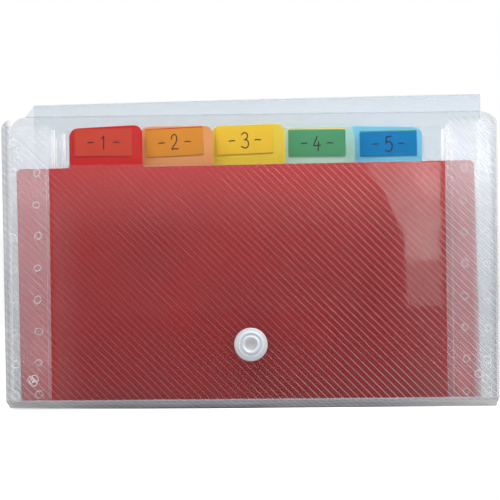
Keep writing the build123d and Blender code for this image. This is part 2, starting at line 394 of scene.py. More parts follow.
def bellows_finish(name):
    """Thin clear film, white where it has been folded and where painted light is written into the same
    number.
    """
    finish = Finish(name)
    white = finish.node("ShaderNodeAttribute", {"attribute_name": "whitening_and_painted_light"}, {}, out="Fac")
    patches = finish.noise(film_cloud, stretch=tall_stretch)
    grain = finish.noise(sheet_grain, detail=2.0)
    film = finish.tint(patches, *film_colours)
    return finish.surface(
        base_color=finish.tint(white, film, white_and_painted_light),
        roughness=0.16 + 0.12 * grain,
        ior=1.6,
        alpha=0.035 + 0.03 * patches + 0.4 * white,
        normal=finish.bump(patches, film_ripple),
    )


bellows_clear = bellows_finish("bellows_clear")
print("bellows finish ready")

# %% [markdown]
# The dividers are coloured sheet, which lets a little light through: each has a colour, a deeper colour
# for its clouds and a density. The label cards are paper with short fibres. Colours could come from a
# palette of plain primaries, but real dyes are uneven, so each finish mixes two near shades. Gloss is
# kept low, because a white surrounding in a strong gloss would wash the colours out.

# %% Divider and card finishes
divider_cloud = 40 * MM
divider_ripple = 0.1 * MM
scuff_size = 2.5 * MM
scuff_stretch = (1, 1, 0.15)
card_cloud = 12 * MM
fibre_size = 0.8 * MM
fibre_stretch = (0.4, 1, 1)
fibre_depth = 0.02 * MM


def divider_finish(name, colour, deep, density):
    finish = Finish(name)
    patches = finish.noise(divider_cloud)
    scuffs = finish.noise(scuff_size, detail=4.0, stretch=scuff_stretch)
    return finish.surface(
        base_color=finish.tint(patches, deep, colour),
        roughness=0.2 + 0.1 * scuffs,
        specular_ior_level=0.1,
        alpha=density + 0.04 * patches,
        normal=finish.bump(patches, divider_ripple),
    )


def card_finish(name, colour, deep):
    finish = Finish(name)
    fibres = finish.noise(fibre_size, detail=5.0, stretch=fibre_stretch)
    clouds = finish.noise(card_cloud)
    return finish.surface(
        base_color=finish.tint(0.6 * clouds + 0.4 * fibres, deep, colour),
        roughness=0.7 + 0.2 * fibres,
        specular_ior_level=0.08,
        normal=finish.bump(fibres, fibre_depth),
    )


divider_colours = {
    "red": ((0.57, 0.028, 0.028), (0.48, 0.02, 0.024), 0.95),
    "orange": ((0.80, 0.36, 0.13), (0.70, 0.29, 0.10), 0.82),
    "yellow": ((0.80, 0.63, 0.06), (0.72, 0.54, 0.04), 0.86),
    "green": ((0.53, 0.78, 0.61), (0.46, 0.70, 0.53), 0.42),
    "blue": ((0.22, 0.65, 0.90), (0.16, 0.55, 0.80), 0.78),
}
card_colours = {
    "red": ((0.57, 0.068, 0.037), (0.46, 0.045, 0.028)),
    "orange": ((0.68, 0.275, 0.033), (0.55, 0.20, 0.024)),
    "yellow": ((0.80, 0.53, 0.045), (0.70, 0.44, 0.03)),
    "green": ((0.09, 0.34, 0.17), (0.065, 0.27, 0.13)),
    "blue": ((0.006, 0.235, 0.56), (0.003, 0.16, 0.43)),
}
divider_finishes = {c: divider_finish(c + "_sheet", *v) for c, v in divider_colours.items()}
card_finishes = {c: card_finish(c + "_card", *v) for c, v in card_colours.items()}
ink = card_finish("ink", (0.06, 0.03, 0.035), (0.03, 0.012, 0.02))
print(len(divider_finishes), "divider finishes,", len(card_finishes), "card finishes and ink")

# %% [markdown]
# The press stud is moulded in opaque white plastic. Its middle is a recess that gets less light than
# its rims. The lamps alone show too little of that at this size, so the finish is a shade darker on
# the flat disc and in the recess, told apart by how far they stand out from the front.

# %% Stud finish
recess_from, recess_to = -17.75 * MM, -17.68 * MM
disc_from, disc_to = -18.3 * MM, -17.95 * MM
rim_colours = ((0.82, 0.86, 0.91), (0.89, 0.92, 0.96))
disc_colour = (0.72, 0.77, 0.84)
recess_colour = (0.66, 0.66, 0.67)
snap_cloud = 5 * MM
snap_grain = 0.5 * MM
snap_ripple = 0.03 * MM


def snap_finish(name):
    finish = Finish(name)
    clouds = finish.noise(snap_cloud)
    grain = finish.noise(snap_grain, detail=2.0)
    on_disc = finish.range(finish.axis("Y"), disc_from, disc_to, 0, 1)
    in_recess = finish.range(finish.axis("Y"), recess_from, recess_to, 0, 1)
    disc = finish.tint(on_disc, finish.tint(clouds, *rim_colours), disc_colour)
    return finish.surface(
        base_color=finish.tint(in_recess, disc, recess_colour),
        roughness=0.22 + 0.15 * grain,
        normal=finish.bump(clouds + 0.2 * grain, snap_ripple),
    )


snap_white = snap_finish("snap_white")
print(len(bpy.data.materials), "finishes")

# %% [markdown]
# Every sheet starts as one flat face. Its corners are rounded with a vertex bevel, the face is
# extruded to the sheet's thickness, and the rim is softened with a small edge bevel, so that it
# catches the light as a cut edge does.

# %% Sheet helpers
corner_segments = 8
rim_segments = 2
sharp_angle = math.radians(50)


def flat_face(corners):
    """One face in the XZ plane from (x, z, radius) corners, with round corners."""
    bm = bmesh.new()
    verts = [bm.verts.new((x, 0, z)) for x, z, radius in corners]
    bm.faces.new(verts)
    for radius in sorted({corner[2] for corner in corners if corner[2]}):
        chosen = [v for v, corner in zip(verts, corners) if corner[2] == radius]
        bmesh.ops.bevel(
            bm, geom=chosen, offset=radius, segments=corner_segments, profile=0.5,
            affect="VERTICES", material=-1,
        )
    return bm


def oblong(left, right, foot, top, foot_corner=0, top_corner=0):
    """The outline of a sheet with four corners, for flat_face."""
    return [
        (left, foot, foot_corner),
        (right, foot, foot_corner),
        (right, top, top_corner),
        (left, top, top_corner),
    ]


def soften(bm, edges, offset, segments=rim_segments):
    bmesh.ops.bevel(
        bm, geom=edges, offset=offset, segments=segments, profile=0.5, affect="EDGES", material=-1
    )


def extrude(bm, faces, vec):
    """Grows the faces into a solid and gives it outward normals."""
    grown = bmesh.ops.extrude_face_region(bm, geom=faces)
    moved = [item for item in grown["geom"] if isinstance(item, bmesh.types.BMVert)]
    bmesh.ops.translate(bm, verts=moved, vec=vec)
    bmesh.ops.recalc_face_normals(bm, faces=bm.faces[:])


def thicken(bm, y_front, y_back, rim):
    """Turns the one face of a bmesh into a sheet between two Y planes with a softened rim."""
    bmesh.ops.translate(bm, verts=bm.verts[:], vec=(0, y_front, 0))
    extrude(bm, bm.faces[:], (0, y_back - y_front, 0))
    soften(bm, [e for e in bm.edges if e.calc_face_angle() > sharp_angle], rim)
    return bm


def everything(bm):
    return bm.verts[:] + bm.edges[:] + bm.faces[:]


def finish_piece(name, bm, finishes, nodes=(), body=None, smooth=False, casts=True):
    """Makes the object, gives it its finishes and slot, and hides the CAD nodes it stands for."""
    open_edges = sum(not e.is_manifold for e in bm.edges)
    mesh = bpy.data.meshes.new(name)
    for face in bm.faces:
        face.smooth = smooth
    bm.to_mesh(mesh)
    bm.free()
    for material in finishes:
        mesh.materials.append(material)
    piece = bpy.data.objects.new(name, mesh)
    bpy.context.scene.collection.objects.link(piece)
    piece.visible_shadow = casts
    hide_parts(*nodes)
    if body:
        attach(piece, body)
    print(name, len(mesh.polygons), "faces", open_edges, "open edges")
    return piece


def finish_cover(name, bm, finishes, node, body=None, casts=False):
    """A piece of the clear cover. Clear sheet throws next to no shadow unless it stands in front."""
    return finish_piece(name, bm, finishes, [node], body, casts=casts)


print("sheet helpers ready")

# %% [markdown]
# The slanting lines are real ridges. Each one is three cuts across the sheet with bisect_plane: the
# two feet and the crest. The points on the crest are then lifted off the face. Two small facets per
# line are enough at this size, and they take a paler finish of their own.

# %% Pressed lines
line_pitch = 2.8 * MM
line_width = 0.32 * MM
line_rise = 0.1 * MM
crest_width = line_width / 10


def press_lines(bm, across, origin, outward, on_face):
    """Raises ridges whose crests lie on planes square to across, counted from origin."""
    across = Vector(across).normalized()
    origin = Vector(origin)
    reach = [(v.co - origin).dot(across) for v in bm.verts]
    first = math.ceil(min(reach) / line_pitch)
    last = math.floor(max(reach) / line_pitch)
    for number in range(first, last + 1):
        for step in (-line_width / 2, 0, line_width / 2):
            place = origin + across * (number * line_pitch + step)
            bmesh.ops.bisect_plane(bm, geom=everything(bm), plane_co=place, plane_no=across)

    def from_crest(point):
        reach = (point - origin).dot(across) / line_pitch
        return abs(reach - round(reach)) * line_pitch

    crest = [v for v in bm.verts if on_face(v.co) and from_crest(v.co) < crest_width / 2]
    for face in bm.faces:
        middle = face.calc_center_median()
        face.material_index = int(on_face(middle) and from_crest(middle) < line_width / 2)
    bmesh.ops.translate(bm, verts=crest, vec=Vector(outward) * line_rise)
    print(last - first + 1, "pressed lines")


print("lines", round(line_pitch / MM, 1), "mm apart")

# %% [markdown]
# The front panel is the sheet between the bottom crease and the two ears. It could keep its CAD mesh,
# but then the pressed lines would be paint. It is cut anew from its outline, and its lower edge ends
# on the crease's axis, so that no gap opens when the pocket does. A used sheet is never quite square:
# the ears differ by a few millimetres, and the sides spread a little.

# %% Front panel
front_low, front_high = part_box("front_panel")
half_width = front_high.x
cover = front_high.y - front_low.y
half_cover = cover / 2
left_ear = 23.1 * MM
right_ear = 25.8 * MM
notch_depth = 23.6 * MM
ear_corner = 5.5 * MM
notch_corner = 5.0 * MM
left_spread = 0.7 * MM
right_spread = 0.6 * MM
foot_spread = 1.0 * MM
rim = 0.12 * MM
near_face = rim / 10
front_crease = hinges["pocket_1_opening"]
front_top = front_high.z
front_foot = front_crease.z - half_cover
notch_low = front_top - notch_depth

front_outline = [
    (-half_width, front_foot, 0),
    (half_width + foot_spread, front_foot, 0),
    (half_width + right_spread, front_top, ear_corner),
    (half_width - right_ear, front_top, ear_corner),
    (half_width - right_ear, notch_low, notch_corner),
    (left_ear - half_width, notch_low, notch_corner),
    (left_ear - half_width, front_top, ear_corner),
    (-half_width - left_spread, front_top, ear_corner),
]
bm = thicken(flat_face(front_outline), front_low.y, front_high.y, rim)
press_lines(bm, (1, 0, 1), (0, 0, 0), (0, -1, 0), lambda p: p.y < front_low.y + near_face)
finish_cover("front_sheet", bm, [front_clear, front_line], "front_panel", "front", casts=True)

# %% [markdown]
# The bottom panel is the strip that slopes back from the front crease and then lies flat on the table.
# Two sheets at an angle would show a seam at the bend. Here one bent section is drawn across the strip
# and extruded from side to side. Its ends taper, as the real strip is trimmed to fold freely, and its
# left foot lifts off the table a little, as used sheet does.

# %% Bottom panel
bend_run = 6.0 * MM
end_taper = 1.2 * MM
left_lift = 1.0 * MM
crease_gap = 0.3 * MM
miter_share = 0.36
bend_miter = half_cover * miter_share
bend = Vector((0, front_crease.y + bend_run, half_cover))
foot_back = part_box("bottom_panel")[1].y
down_slope = (bend - front_crease).normalized()
slope_square = Vector((0, -down_slope.z, down_slope.y))
lift = slope_square * half_cover
section = [
    front_crease + lift + down_slope * crease_gap,
    bend + Vector((0, bend_miter, half_cover)),
    Vector((0, foot_back, cover)),
    Vector((0, foot_back, 0)),
    bend - Vector((0, bend_miter, half_cover)),
    front_crease - lift + down_slope * crease_gap,
]
bm = bmesh.new()
bm.faces.new([bm.verts.new(point + Vector((-half_width, 0, 0))) for point in section])
extrude(bm, bm.faces[:], (2 * half_width, 0, 0))
crease_edges = [
    e for e in bm.edges
    if abs(e.verts[0].co.x - e.verts[1].co.x) > half_width
    and (e.verts[0].co - front_crease).yz.length < cover
]
soften(bm, crease_edges, rim)
for v in bm.verts:
    share = 1 - min(v.co.z / front_crease.z, 1)
    v.co.x -= math.copysign(end_taper * share, v.co.x)


def on_slope(point):
    off = (point - front_crease).dot(slope_square)
    return off < near_face - half_cover and point.y < bend.y - half_cover


press_lines(bm, (1, -down_slope.y, -down_slope.z), front_crease, -slope_square, on_slope)
for v in bm.verts:
    share = max(0, 1 - v.co.z / front_crease.z)
    v.co.z += left_lift * share * max(0, -v.co.x / half_width) ** 2
finish_cover("bottom_sheet", bm, [foot_clear, foot_line], "bottom_panel", "cover", casts=True)

# %% [markdown]
# The back panel stands behind the pockets and ends at the spine's crease. It is cut like the front, but
# its lines slant the other way and stand on its outer face. It ends exactly on the crease's axis: where
# two clear sheets overlap, the doubled haze would draw a dark line.

# %% Back panel
spine_crease = hinges["spine_crease"]
back_low, back_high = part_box("back_panel")
flap_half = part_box("flap_spine")[1].x
back_corner = half_width - flap_half
back_outline = oblong(-half_width, half_width, back_low.z, spine_crease.z, 0, back_corner)
bm = thicken(flat_face(back_outline), back_high.y - cover, back_high.y, rim)
press_lines(bm, (1, 0, -1), (0, 0, 0), (0, 1, 0), lambda p: p.y > back_high.y - near_face)
finish_cover("back_sheet", bm, [back_clear, back_line], "back_panel", "cover")

# %% [markdown]
# The spine is the strip over the pockets and the flap is the sheet that closes over the front. Thrown
# back, the flap hangs a little askew and twists the spine. The flap takes the same slant, so that the
# two edges meet.

# %% Flap spine and flap
flap_crease = hinges["flap_crease"]
flap_twist = 0.0124
flap_bow = -0.0256
lap_share = 0.9
edge_lap = half_cover * lap_share
flap_corner = 20.0 * MM
spine_run = (flap_crease - spine_crease).length
spine_lean = math.atan2(flap_crease.y - spine_crease.y, flap_crease.z - spine_crease.z)
along_spine = (flap_crease - spine_crease) / spine_run


def slant(x):
    """How far the thrown back flap hangs above its straight place at x."""
    return flap_twist * x + flap_bow * x * x


spine_outline = oblong(-flap_half, flap_half, 0, spine_run + edge_lap)
bm = thicken(flat_face(spine_outline), -half_cover, half_cover, rim)
press_lines(bm, (1, 0, -1), (0, 0, 0), (0, 1, 0), lambda p: p.y > half_cover - near_face)
lean = Matrix.Rotation(-spine_lean, 4, "X")
bmesh.ops.transform(bm, matrix=Matrix.Translation(spine_crease) @ lean, verts=bm.verts[:])
for v in bm.verts:
    v.co.z += slant(v.co.x) * (v.co - spine_crease).dot(along_spine) / spine_run
piece = finish_cover("spine_sheet", bm, [spine_clear, spine_line], "flap_spine")
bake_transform(piece)

flap_low, flap_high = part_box("flap_panel")
flap_outline = oblong(-flap_half, flap_half, flap_low.z, flap_crease.z + edge_lap, flap_corner)
bm = thicken(flat_face(flap_outline), flap_low.y, flap_high.y, rim)
press_lines(bm, (1, 0, -1), (0, 0, 0), (0, -1, 0), lambda p: p.y < flap_low.y + near_face)
for v in bm.verts:
    v.co.z += slant(v.co.x)
finish_cover("flap_sheet", bm, [back_clear, back_line], "flap_panel", "flap")

# %% [markdown]
# The rear pocket has a clear sheet of its own, in front of the back panel. Only its cut edges show, as
# thin pale lines, so the flat sides are nearly clear and the rim takes the denser finish.

# %% Rear pocket sheet
rear_corner = 1.0 * MM
rear_rim = 0.05 * MM
facing = 0.9
rear_low, rear_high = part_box("rear_pocket_sheet")
rear_outline = oblong(rear_low.x, rear_high.x, rear_low.z, rear_high.z, 0, rear_corner)
bm = thicken(flat_face(rear_outline), rear_low.y, rear_high.y, rear_rim)
for face in bm.faces:
    face.material_index = int(abs(face.normal.y) < facing)
finish_cover("rear_sheet", bm, [rear_clear, spine_line], "rear_pocket_sheet", "cover")

# %% [markdown]
# Five dividers carry a tab each, one step further along than the one before. One function cuts them
# all: a wide face with a tab on its top edge, whose corners and roots are rounded. The red one, in
# front, has slipped sideways in its welds and hides the others' ends, so its corners are shifted.

# %% Dividers
colours = list(divider_colours)
shoulder = 123.6 * MM
shoulder_drops = [0, 1.7 * MM, 1.7 * MM, 1.7 * MM, 1.7 * MM]
shoulder_tilts = [0.9 * MM, 0, 0, 0, 0]
askew = (-1.2 * MM, -0.5 * MM, -3.0 * MM, -2.2 * MM)
tucked = (0, -1.0 * MM, -3.4 * MM, 0)
corner_slips = [askew, tucked, tucked, tucked, tucked]
foot_drop = 1.8 * MM
tab_width = 36.5 * MM
tab_leads = [0, 0, 0, 0, 1.8 * MM]
tab_stretches = [0.8 * MM, 0.8 * MM, 0.8 * MM, 0.7 * MM, 1.2 * MM]
tab_rises = [1.6 * MM, 0, 0.7 * MM, -0.2 * MM, -1.0 * MM]
divider_corner = 2.5 * MM
divider_rim = 0.06 * MM
tab_corner = 4.5 * MM
tab_root = 1.6 * MM


def cut_divider(number, colour):
    low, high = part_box(colour + "_divider")
    sleeve_low, sleeve_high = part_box(colour + "_sleeve")
    tab_x = (sleeve_low.x + sleeve_high.x) / 2
    left = tab_x - tab_width / 2 - tab_leads[number]
    right = tab_x + tab_width / 2 + tab_stretches[number]
    slips, rise, tilt = corner_slips[number], tab_rises[number], shoulder_tilts[number]
    edge = shoulder - shoulder_drops[number]
    foot = low.z - foot_drop
    outline = [
        (low.x + slips[0], foot, 0),
        (high.x + slips[1], foot, 0),
        (high.x + slips[2], edge + tilt, divider_corner),
        (right, edge + tilt * right / high.x, tab_root),
        (right, high.z - max(-rise, 0), tab_corner),
        (left, high.z - max(rise, 0), tab_corner),
        (left, edge + tilt * left / high.x, tab_root),
        (low.x + slips[3], edge - tilt, divider_corner),
    ]
    bm = thicken(flat_face(outline), low.y, high.y, divider_rim)
    name = colour + "_divider_sheet"
    nodes = [colour + "_divider"]
    return finish_piece(name, bm, [divider_finishes[colour]], nodes, colour)


for number, colour in enumerate(colours):
    cut_divider(number, colour)

# %% [markdown]
# A label sleeve is a small window of clear film, welded to the tab on three sides and open at the top.
# A flat film would lie on the card. So the face is inset by the width of the weld, the whole is given
# the film's thickness, and only the border is extruded on, back to the tab.

# %% Label sleeves
sleeve_rim = 1.2 * MM
sleeve_film = 0.2 * MM
sleeve_corner = 0.8 * MM


def weld_sleeve(colour):
    low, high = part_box(colour + "_sleeve")
    bm = flat_face(oblong(low.x, high.x, low.z, high.z, sleeve_corner))
    bmesh.ops.inset_region(bm, faces=bm.faces[:], thickness=sleeve_rim, use_even_offset=True)
    bmesh.ops.translate(bm, verts=bm.verts[:], vec=(0, low.y, 0))
    extrude(bm, bm.faces[:], (0, sleeve_film, 0))
    whole = (high.x - low.x) * (high.z - low.z)
    border = [
        f for f in bm.faces
        if f.normal.y > facing
        and f.calc_area() < whole / 2
        and f.calc_center_median().z < high.z - sleeve_rim
    ]
    extrude(bm, border, (0, high.y - low.y - sleeve_film, 0))
    for face in bm.faces:
        middle = face.calc_center_median()
        inside = low.x + sleeve_rim < middle.x < high.x - sleeve_rim and low.z + sleeve_rim < middle.z
        face.material_index = int(not inside)
    name, nodes = colour + "_label_sleeve", [colour + "_sleeve"]
    return finish_piece(name, bm, [film_clear, film_edge], nodes, colour, casts=False)


for colour in colours:
    weld_sleeve(colour)

# %% [markdown]
# Each sleeve holds a card with a number written by hand. The strokes could be painted on the card with
# a shader, but pen strokes are easier to draw: each is a smooth curve through a few points, given a
# round bevel, turned into a mesh and pressed flat. Three cards have a second card behind them, whose
# upper edge peeks out as a thin line of another colour.

# %% Label cards and numerals
label_tilts = [0.0, 2.4, 1.8, 0.0, 0.6]
label_trims = [0, 0, 0, 0, 1.4 * MM]
label_slips = [0, 0.2 * MM, 0.3 * MM, 0.3 * MM, 1.0 * MM]
card_corner = 0.5 * MM
card_rim = 0.02 * MM
backing_gap = 0.01 * MM
backing_peek = 0.55 * MM
backing_card = 0.06 * MM
backed = ("orange", "green", "blue")
numerals = {
    "red": [[(0.30, 0.74), (0.46, 0.86), (0.58, 1.02), (0.55, 0.55), (0.53, 0.0)]],
    "orange": [[
        (0.16, 0.72), (0.22, 1.02), (0.72, 1.08), (0.84, 0.66), (0.52, 0.36), (0.06, -0.04),
        (0.50, 0.08), (0.94, 0.02),
    ]],
    "yellow": [[
        (0.14, 0.88), (0.42, 1.10), (0.92, 0.96), (0.76, 0.56), (0.34, 0.54), (0.88, 0.54),
        (1.00, 0.12), (0.52, -0.12), (0.08, 0.10),
    ]],
    "green": [
        [(0.58, 1.02), (0.34, 0.66), (0.06, 0.30), (0.50, 0.34), (0.98, 0.36)],
        [(0.70, 0.62), (0.68, 0.30), (0.64, -0.06)],
    ],
    "blue": [
        [(0.30, 1.00), (0.24, 0.74), (0.20, 0.50), (0.56, 0.72), (1.00, 0.50), (0.86, 0.02),
         (0.44, -0.08), (0.10, 0.08)],
        [(0.30, 0.99), (0.60, 1.00), (0.92, 1.03)],
    ],
}
dashes = [[(-1.35, 0.48), (-0.95, 0.53), (-0.6, 0.5)], [(1.65, 0.5), (2.0, 0.54), (2.4, 0.49)]]
figure_height = 7.2 * MM
figure_width = 4.4 * MM
pen_radius = 0.3 * MM
pen_depth_share = 0.25
weld_distance = 0.001 * MM


def set_down(bm, middle, y, tilt):
    """Turns a piece drawn about the origin by the tilt in degrees and moves it to its place."""
    spin = Matrix.Rotation(-math.radians(tilt), 4, "Y")
    place = Matrix.Translation((middle.x, y, middle.z))
    bmesh.ops.transform(bm, matrix=place @ spin, verts=bm.verts[:])
    return bm


def draw_strokes(strokes):
    """Pen strokes as flattened tubes, made as smooth curves and turned into one mesh."""
    curve = bpy.data.curves.new("pen", "CURVE")
    curve.dimensions = "3D"
    curve.bevel_depth = pen_radius
    curve.bevel_resolution = 2
    curve.resolution_u = 6
    curve.use_fill_caps = True
    for stroke in strokes:
        spline = curve.splines.new("NURBS")
        spline.points.add(len(stroke) - 1)
        for point, (u, v) in zip(spline.points, stroke):
            point.co = ((u - 0.5) * figure_width, 0, (v - 0.5) * figure_height, 1)
        spline.order_u = 3
        spline.use_endpoint_u = True
    pen = bpy.data.objects.new("pen", curve)
    bpy.context.scene.collection.objects.link(pen)
    mesh = bpy.data.meshes.new_from_object(pen.evaluated_get(bpy.context.evaluated_depsgraph_get()))
    bpy.data.objects.remove(pen)
    bm = bmesh.new()
    bm.from_mesh(mesh)
    bpy.data.meshes.remove(mesh)
    bmesh.ops.remove_doubles(bm, verts=bm.verts[:], dist=weld_distance)
    bmesh.ops.scale(bm, vec=(1, pen_depth_share, 1), verts=bm.verts[:])
    bmesh.ops.recalc_face_normals(bm, faces=bm.faces[:])
    return bm


def cut_card(half, y_front, y_back):
    outline = oblong(-half.x, half.x, -half.z, half.z, card_corner, card_corner)
    return thicken(flat_face(outline), y_front, y_back, card_rim)


def write_label(number, colour):
    low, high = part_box(colour + "_label")
    high.z -= label_trims[number]
    half = (high - low) / 2
    tilt = label_tilts[number]
    tilt_room = abs(math.sin(math.radians(tilt))) * half.x
    middle = low + half + Vector((label_slips[number], 0, tilt_room))
    body = colour + "_card"
    bm = set_down(cut_card(half, low.y, high.y), middle, 0, tilt)
    finish_piece(colour + "_label_card", bm, [card_finishes[colour]], [colour + "_label"], body)
    bm = set_down(draw_strokes(numerals[colour] + dashes), middle, low.y, tilt)
    finish_piece(colour + "_label_figure", bm, [ink], (), body, smooth=True)
    if colour in backed:
        before = colours[number - 1]
        peek = middle + Vector((0, 0, backing_peek))
        bm = set_down(cut_card(half, high.y + backing_gap, high.y + backing_card), peek, 0, tilt)
        name = colour + "_label_backing"
        finish_piece(name, bm, [card_finishes[before]], (), body)


for number, colour in enumerate(colours):
    write_label(number, colour)

# %% [markdown]
# A pleat is a strip of film folded inwards between two neighbouring sheets, one on each side of every
# pocket. It could be shown half open with stiff walls, but the pockets open one by one. Each pleat is
# extruded upwards from its folded path, its folds are rounded and it gets its film thickness.

# %% Bellows
pocket_bodies = ["front", *colours, "cover"]
film = 0.3 * MM
film_gap = 0.03 * MM
fold_round = 0.9 * MM
fold_segments = 5
flange = 8.0 * MM
fold_slips = {("right", 1): 2.9 * MM, ("left", 3): 2.6 * MM, ("right", 3): 0.3 * MM}
fold_white = 4.0 * MM
fold_cuts = [0.5 * MM, 1.0 * MM, 2.0 * MM, 3.0 * MM, 4.0 * MM]
tip_lines = {3: [(0, 0.9 * MM)]}
front_lines = {
    "left": [(0.4 * MM, 0.7 * MM, 0.25), (1.5 * MM, 1.85 * MM, 0.4)],
    "right": [(0, 0.3 * MM, 0.2), (3.1 * MM, 3.45 * MM, 0.45)],
}
line_soft = 0.1 * MM
flange_band = 4.0 * MM
flange_shares = (0.5, 0.75, 1.0, 1.25, 1.5)
edge_white, right_flange_painted_light = 0.3, 0.5
# Painted light on the first pleat: the white at its foot and at its top, more on the right.
foot_painted_light = 0.05
top_painted_light = {"left": 0.12, "right": 0.22}


def whiten(place, outer, tip, number, side, top):
    """How white the film is at a place: on its folds, on the first pleat along its welds, and painted
    light that whitens the first pleat higher up and on the right.
    """
    inside = abs(place.x) - tip
    # The folds' white, here and in the first pleat's lines, is partly stress whitening and partly a
    # painted highlight.
    if number > 1:
        on_tip = any(start <= inside < end for start, end in tip_lines.get(number, []))
        return max(float(on_tip), max(0, 1 - inside / fold_white) ** 2)
    on_line = max((white for start, end, white in front_lines[side] if start <= inside <= end), default=0)
    from_edge = outer - abs(place.x)
    near_edge = max(0, 1 - from_edge / flange)
    # Painted light: a bright band on the right flange only.
    on_flange = max(0, 1 - abs(from_edge - flange) / flange_band) * (side == "right")
    # Painted light: whiter higher up, and more on the right than on the left.
    painted_light = foot_painted_light + (top_painted_light[side] - foot_painted_light) * place.z / top
    return max(painted_light, on_line, edge_white * near_edge, right_flange_painted_light * on_flange)


def fold_pleat(side, number):
    node = f"{side}_pleat_{number}"
    low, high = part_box(node)
    sign = 1 if side == "right" else -1
    outer = max(abs(low.x), abs(high.x)) - film / 2
    inner = min(abs(low.x), abs(high.x)) + film / 2 - fold_slips.get((side, number), 0)
    near, far = low.y + film / 2 + film_gap, high.y - film / 2 - film_gap
    foot = low.z - foot_drop
    path = [(outer, near), (inner, far), (outer, far)]
    if number == 1:
        path.insert(1, (outer - flange, near))
    bm = bmesh.new()
    verts = [bm.verts.new((sign * x, y, foot)) for x, y in path]
    edges = [bm.edges.new(pair) for pair in zip(verts, verts[1:])]
    grown = bmesh.ops.extrude_edge_only(bm, edges=edges)
    moved = [item for item in grown["geom"] if isinstance(item, bmesh.types.BMVert)]
    bmesh.ops.translate(bm, verts=moved, vec=(0, 0, high.z - foot))
    soften(bm, [e for e in bm.edges if len(e.link_faces) == 2], fold_round, fold_segments)
    tip = min(abs(v.co.x) for v in bm.verts)
    cuts = [tip + cut for cut in fold_cuts]
    if number == 1:
        ends = [(start, end) for start, end, white in front_lines[side]]
        steps = [(start - line_soft, start, end, end + line_soft) for start, end in ends]
        cuts = [tip + cut for step in steps for cut in step]
        cuts += [outer - flange * share for share in flange_shares]
    for cut in cuts:
        bmesh.ops.bisect_plane(bm, geom=everything(bm), plane_co=(sign * cut, 0, 0), plane_no=(1, 0, 0))
    bmesh.ops.recalc_face_normals(bm, faces=bm.faces[:])
    bmesh.ops.solidify(bm, geom=bm.faces[:], thickness=film)
    white = bm.verts.layers.float.new("whitening_and_painted_light")
    for v in bm.verts:
        v[white] = whiten(v.co, outer, tip, number, side, high.z)
    name = f"{side}_bellows_{number}"
    piece = finish_piece(name, bm, [bellows_clear], [node], smooth=True, casts=False)
    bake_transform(piece)
    return piece


for number in range(1, len(pocket_bodies)):
    for side in ("left", "right"):
        fold_pleat(side, number)

# %% [markdown]
# The pleats are held by spot welds. A hot pin leaves a small raised ring of melted plastic, no two quite
# alike. A ring could be a plain torus, but it would look stamped. Here a low arched section is spun
# round, then squeezed to an oval and made lower on one side, by amounts drawn with a fixed seed.

# %% Weld spots
weld_pitch = 16.1 * MM
weld_first = 7.9 * MM
weld_middle = 1.72 * MM
weld_half = 0.4 * MM
weld_rise = 0.28 * MM
weld_steps = 20
weld_seed = 11
wander_x, wander_z = 0.5 * MM, 0.4 * MM
weld_gap = 0.01 * MM
width_spread = (0.9, 1.1)
squeeze_spread = (0.03, 0.1)
low_side_share, high_side_share = 0.7, 0.5
arch_shares = [(-1, 0.0), (-0.6, 0.8), (0, 1.0), (0.6, 0.7), (1, 0.0)]
random.seed(weld_seed)


def melt_ring(bm, x, y, z, outward):
    """One uneven ring of melted sheet, spun from a small arched section."""
    middle = weld_middle * random.uniform(*width_spread)
    section = [(middle + weld_half * across, weld_rise * rise) for across, rise in arch_shares]
    verts = [bm.verts.new((r, outward * h, 0)) for r, h in section]
    edges = [bm.edges.new(pair) for pair in zip(verts, verts[1:] + verts[:1])]
    before = set(bm.verts) - set(verts)
    bmesh.ops.spin(
        bm, geom=verts + edges, cent=(0, 0, 0), axis=(0, 1, 0), angle=math.tau, steps=weld_steps,
        use_merge=True,
    )
    ring = [v for v in bm.verts if v not in before]
    phase = random.uniform(0, math.tau)
    squeeze = random.uniform(*squeeze_spread)
    for v in ring:
        angle = math.atan2(v.co.z, v.co.x)
        v.co *= 1 + squeeze * math.sin(2 * angle + phase)
        v.co.y *= low_side_share + high_side_share * math.sin(angle + phase) ** 2
    bmesh.ops.translate(bm, verts=ring, vec=(x, y + outward * weld_gap, z))


def weld_rings(name, node, body, y, outward, extra=()):
    low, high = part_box(node)
    rows = round((high.z - weld_first) / weld_pitch) + 1
    radius = high.z - weld_first - (rows - 1) * weld_pitch
    column = high.x - radius
    bm = bmesh.new()
    for side in (-1, 1):
        for row in range(rows):
            x = side * column + random.uniform(-wander_x, wander_x)
            z = weld_first + weld_pitch * row + random.uniform(-wander_z, wander_z)
            melt_ring(bm, x, y, z, outward)
    for x, z in extra:
        melt_ring(bm, x * MM, y, z * MM, outward)
    bmesh.ops.recalc_face_normals(bm, faces=bm.faces[:])
    return finish_piece(name, bm, [weld_clear], [node], body, smooth=True, casts=False)


double_welds = [
    (-116.6, 132.3), (-115.6, 129.2), (-112.2, 15.6), (-110.2, 16.2), (-111.0, 14.4), (115.0, 16.7),
    (118.0, 14.6),
]
weld_rings("front_weld_rings", "front_welds", "front", front_low.y, -1, double_welds)
weld_rings("back_weld_rings", "back_welds", "cover", back_high.y, 1)
for colour in colours:
    low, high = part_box(colour + "_welds")
    weld_rings(colour + "_weld_rings", colour + "_welds", colour, high.y, -1)

# %% [markdown]
# The press stud has four turned parts: a socket with its rivet on the front panel, and a stud with its
# cap on the flap. Stacked cylinders would have hard steps, and moulded plastic has none. Each part is
# one profile, drawn from its middle to its rim and back, and spun round the stud's axis.

# %% Press stud
lathe_steps = 72


